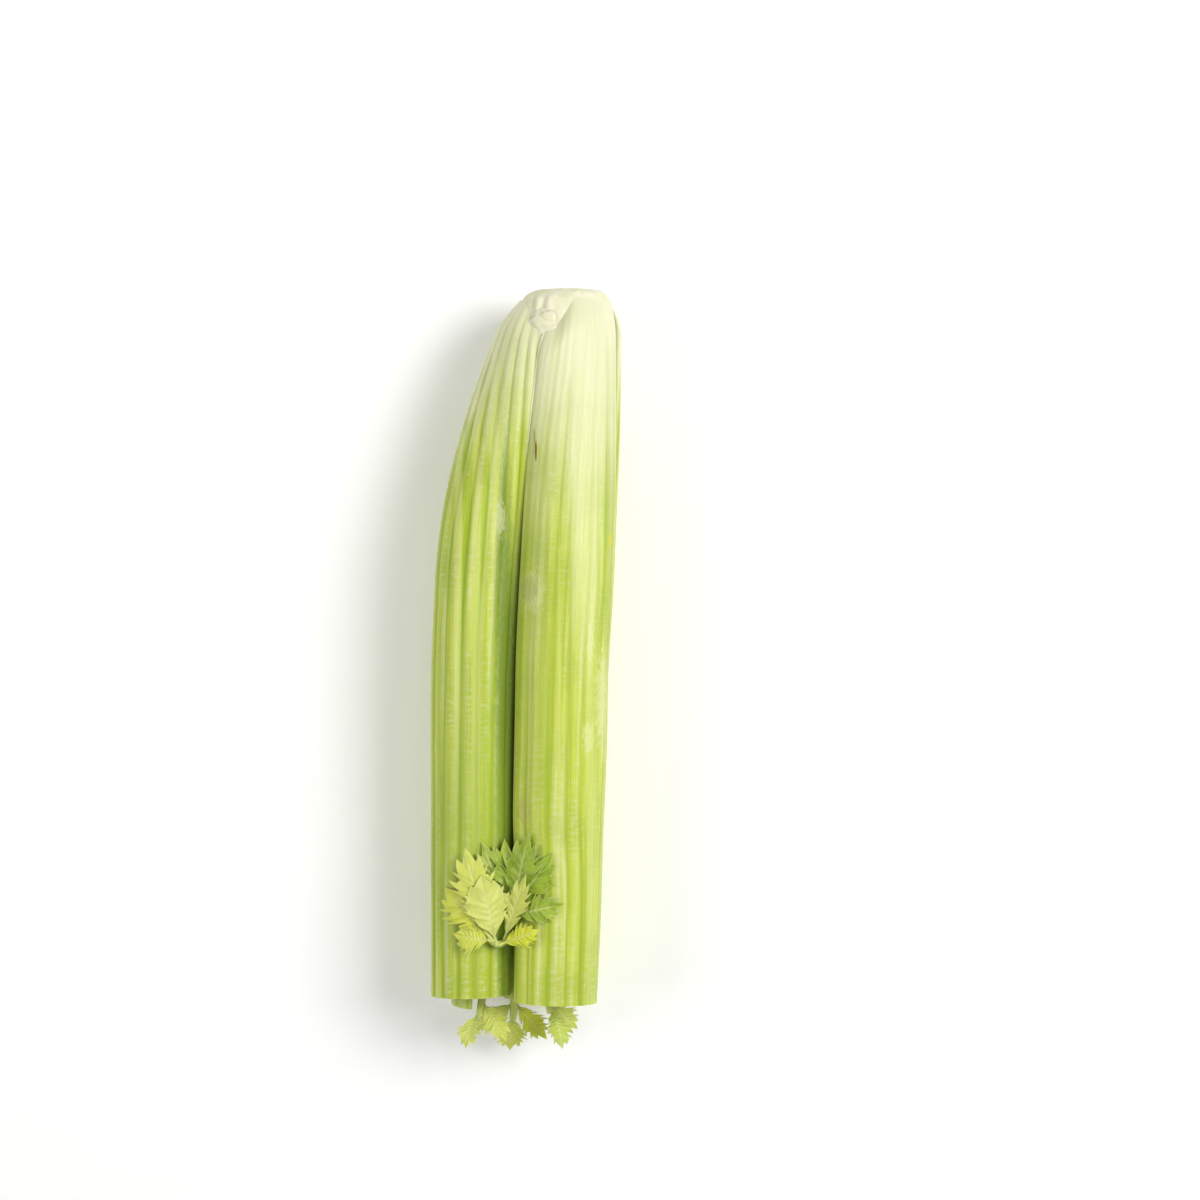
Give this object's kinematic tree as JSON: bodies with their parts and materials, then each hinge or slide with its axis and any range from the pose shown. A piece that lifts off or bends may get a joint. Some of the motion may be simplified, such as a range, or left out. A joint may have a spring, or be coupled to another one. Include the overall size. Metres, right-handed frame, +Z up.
{
  "type": "celery heart",
  "caption": "Trimmed celery heart lying on its side: nested ribbed stalks on a cut root crown, small toothed leaves folded over the stalks and at the cut tops.",
  "frame": {"origin": "bottom centre of the bounding box, on the surface the heart lies on", "axes": "+Z up; +Y along the heart toward the cut base, -Y toward the cut tops and leaves; +X to the heart's right seen from above with the base away from the viewer"},
  "size_m": [0.062, 0.248, 0.0522],
  "materials": {
    "root_crown": "cut cream-white plant tissue, matt",
    "outer_stalk": "ribbed yellow-green skin, soft sheen",
    "middle_stalk": "ribbed pale green skin, soft sheen",
    "inner_stalk": "pale yellow-green skin, soft sheen",
    "pale_leaf": "yellow leaf blade, soft sheen",
    "green_leaf": "light green leaf blade, soft sheen",
    "young_leaf": "young yellow leaf blade, soft sheen"
  },
  "bodies": {
    "root": {"root_crown": "root_crown", "outer_stalk_right": "outer_stalk", "outer_stalk_left": "outer_stalk", "under_stalk_left": "outer_stalk", "under_stalk_right": "outer_stalk", "middle_stalk_right": "middle_stalk", "middle_stalk_top": "middle_stalk", "middle_stalk_left": "middle_stalk", "middle_stalk_bottom": "middle_stalk", "inner_stalk_left": "inner_stalk", "inner_stalk_right": "inner_stalk", "core_stalk": "inner_stalk", "pale_leaf_spray": "pale_leaf", "green_leaf_spray": "green_leaf", "core_leaf_spray": "young_leaf", "left_leaf_spray": "young_leaf", "right_leaf_spray": "green_leaf"}
  },
  "joints": []
}
